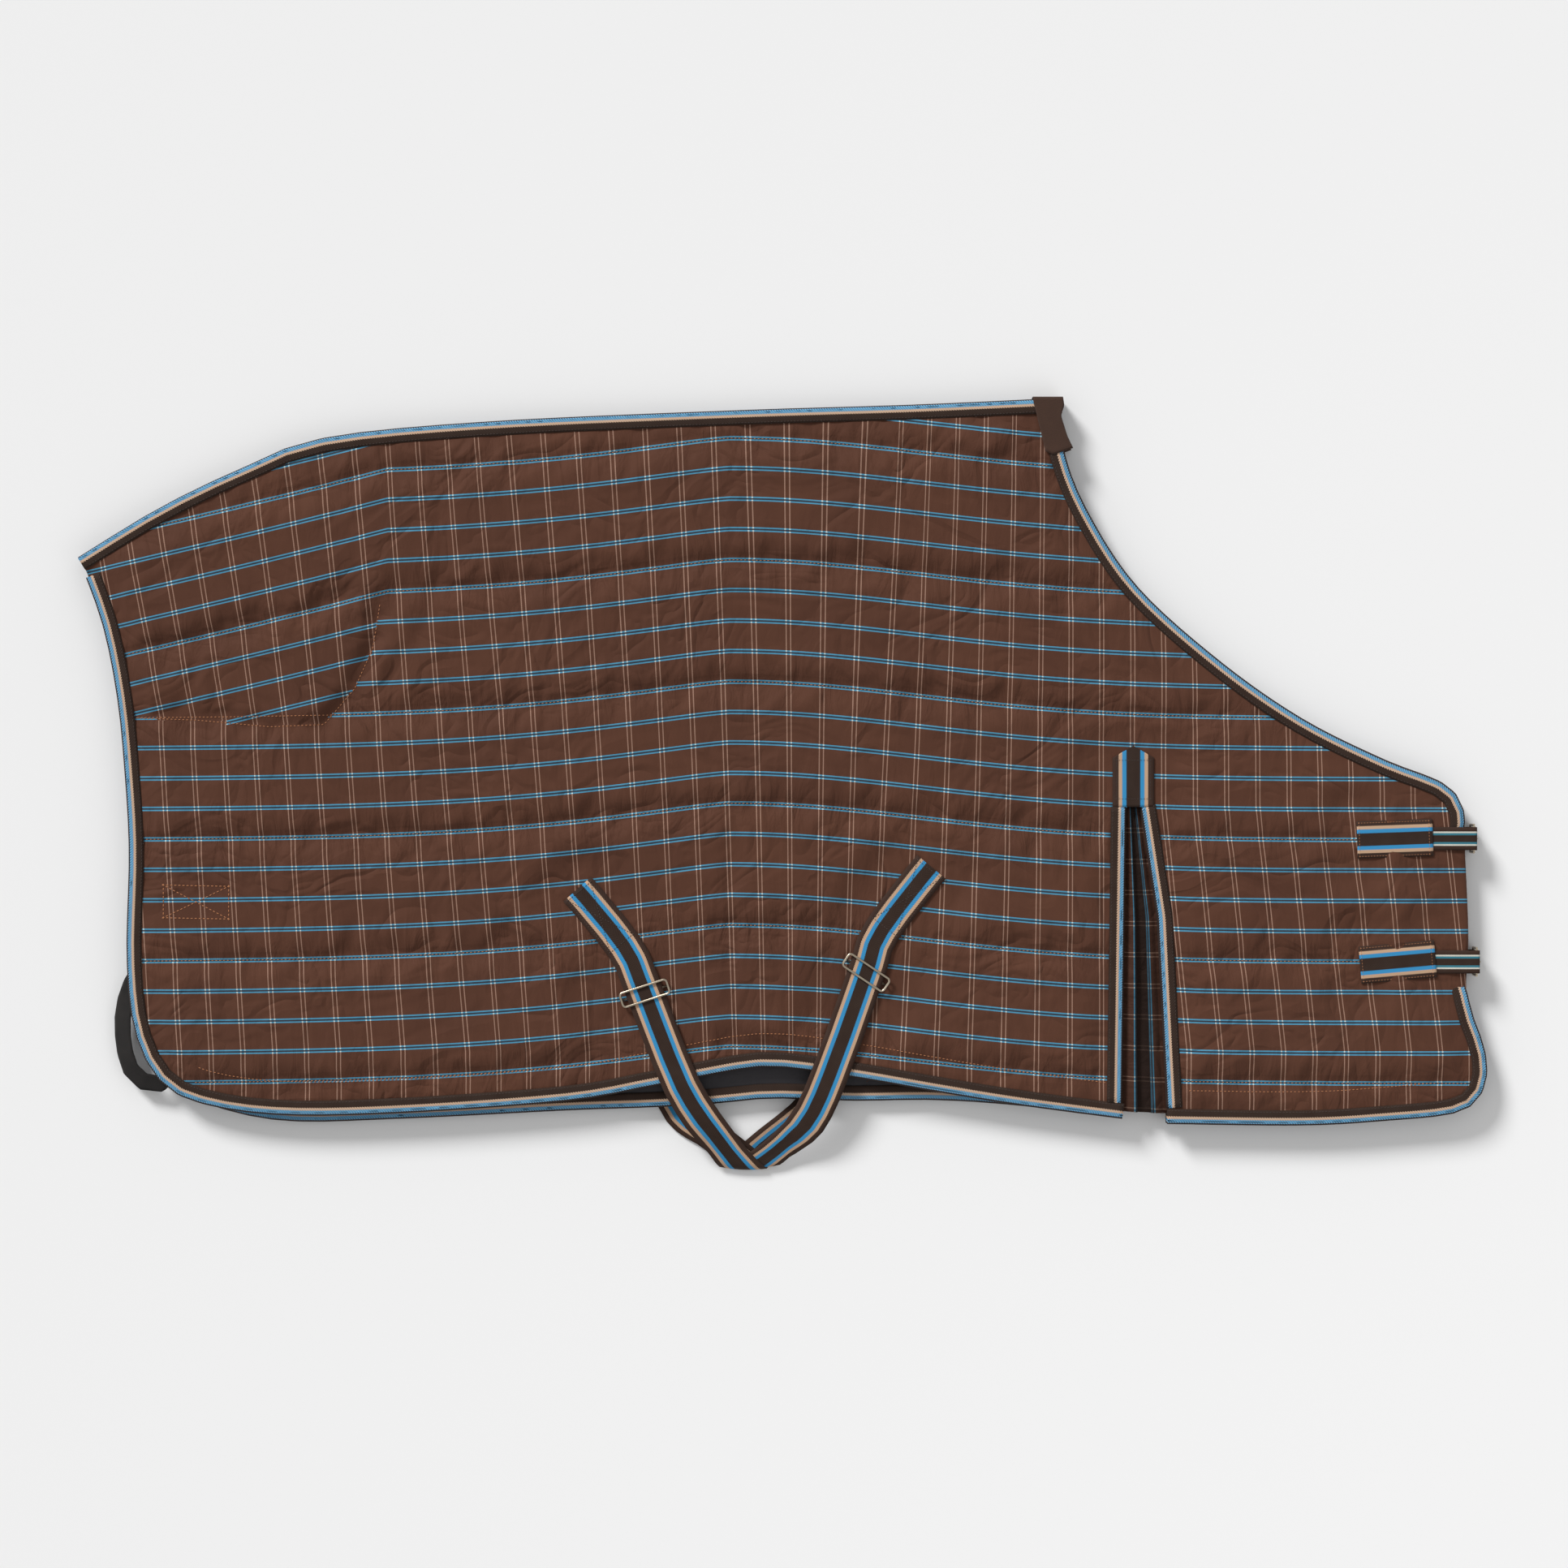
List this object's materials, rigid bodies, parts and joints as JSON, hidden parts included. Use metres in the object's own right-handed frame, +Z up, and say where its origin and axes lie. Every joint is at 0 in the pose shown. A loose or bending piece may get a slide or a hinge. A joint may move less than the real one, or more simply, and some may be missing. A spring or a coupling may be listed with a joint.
{
  "type": "horse rug",
  "caption": "Quilted check horse rug folded in half along its spine, bound edges, crossing belly straps, chest straps with roller buckles.",
  "frame": {"origin": "middle of the folded rug's box, on the surface it lies on", "axes": "+X to the head along the length, +Y to the spine, +Z up through the folded halves"},
  "size_m": [1.901, 1.0454, 0.0408],
  "materials": {
    "check_cloth": "woven check cotton-poly cloth, matt",
    "wadding": "loose polyester wadding",
    "lining_cloth": "smooth plain woven lining",
    "binding_braid": "ribbed braid, dark brown, blue and beige stripes",
    "striped_webbing": "woven webbing, dark brown with blue and beige stripes",
    "chest_webbing": "narrow woven webbing, dark brown with two pale stripes",
    "black_webbing": "black woven webbing",
    "patch_cloth": "plain brown woven cloth, matt",
    "nickel_wire": "nickel-plated wire and plate, lightly worn"
  },
  "bodies": {
    "left_half": {"left_outer_shell": "check_cloth", "left_gusset": "check_cloth", "left_filling": "wadding", "left_lining": "lining_cloth", "left_rear_binding": "binding_braid", "left_front_binding": "binding_braid", "left_slit_rear_binding": "binding_braid", "left_slit_front_binding": "binding_braid", "left_gusset_tab": "striped_webbing", "left_upper_chest_patch": "striped_webbing", "left_lower_chest_patch": "striped_webbing", "spine_tape": "binding_braid", "wither_patch": "patch_cloth", "rear_surcingle": "striped_webbing", "front_surcingle": "striped_webbing", "rear_slot_tab": "striped_webbing", "front_slot_tab": "striped_webbing", "rear_slot_plate": "nickel_wire", "front_slot_plate": "nickel_wire", "rear_t_hook": "nickel_wire", "front_t_hook": "nickel_wire", "upper_chape": "chest_webbing", "upper_keeper": "chest_webbing", "upper_buckle_frame": "nickel_wire", "lower_chape": "chest_webbing", "lower_keeper": "chest_webbing", "lower_buckle_frame": "nickel_wire", "tail_strap": "black_webbing"},
    "right_half": {"right_outer_shell": "check_cloth", "right_gusset": "check_cloth", "right_filling": "wadding", "right_lining": "lining_cloth", "right_rear_binding": "binding_braid", "right_front_binding": "binding_braid", "right_slit_rear_binding": "binding_braid", "right_slit_front_binding": "binding_braid", "right_gusset_tab": "striped_webbing", "right_upper_chest_patch": "striped_webbing", "right_lower_chest_patch": "striped_webbing", "upper_billet": "chest_webbing", "lower_billet": "chest_webbing"},
    "rear_adjuster": {"rear_slider": "nickel_wire"},
    "front_adjuster": {"front_slider": "nickel_wire"},
    "upper_prong": {"upper_buckle_prong": "nickel_wire"},
    "upper_roller": {"upper_buckle_roller": "nickel_wire"},
    "lower_prong": {"lower_buckle_prong": "nickel_wire"},
    "lower_roller": {"lower_buckle_roller": "nickel_wire"}
  },
  "joints": [
    {"name": "spine_fold", "type": "hinge", "parent": "left_half", "child": "right_half", "pos_m": [0.3745, 0.51, 0.01985], "axis": [-0.9982, -0.0603, 0], "range_deg": [0, 5], "deforming": ["rear_surcingle", "front_surcingle", "tail_strap", "spine_tape", "wither_patch", "upper_billet", "lower_billet"]},
    {"name": "rear_slider_slide", "type": "slide", "parent": "right_half", "child": "rear_adjuster", "axis": [0.3746, -0.9272, 0], "range_m": [-0.02, 0.06]},
    {"name": "front_slider_slide", "type": "slide", "parent": "right_half", "child": "front_adjuster", "axis": [-0.342, -0.9397, 0], "range_m": [-0.01, 0.06]},
    {"name": "upper_prong_swing", "type": "hinge", "parent": "left_half", "child": "upper_prong", "pos_m": [0.93173, -0.07365, 0.0056], "axis": [0, 1, 0], "range_deg": [0, 75]},
    {"name": "upper_roller_spin", "type": "hinge", "parent": "left_half", "child": "upper_roller", "pos_m": [0.93173, -0.07365, 0.0296], "axis": [0, 1, 0], "continuous": true},
    {"name": "lower_prong_swing", "type": "hinge", "parent": "left_half", "child": "lower_prong", "pos_m": [0.93541, -0.23964, 0.0056], "axis": [0, 1, 0], "range_deg": [0, 75]},
    {"name": "lower_roller_spin", "type": "hinge", "parent": "left_half", "child": "lower_roller", "pos_m": [0.93541, -0.23964, 0.0296], "axis": [0, 1, 0], "continuous": true}
  ]
}
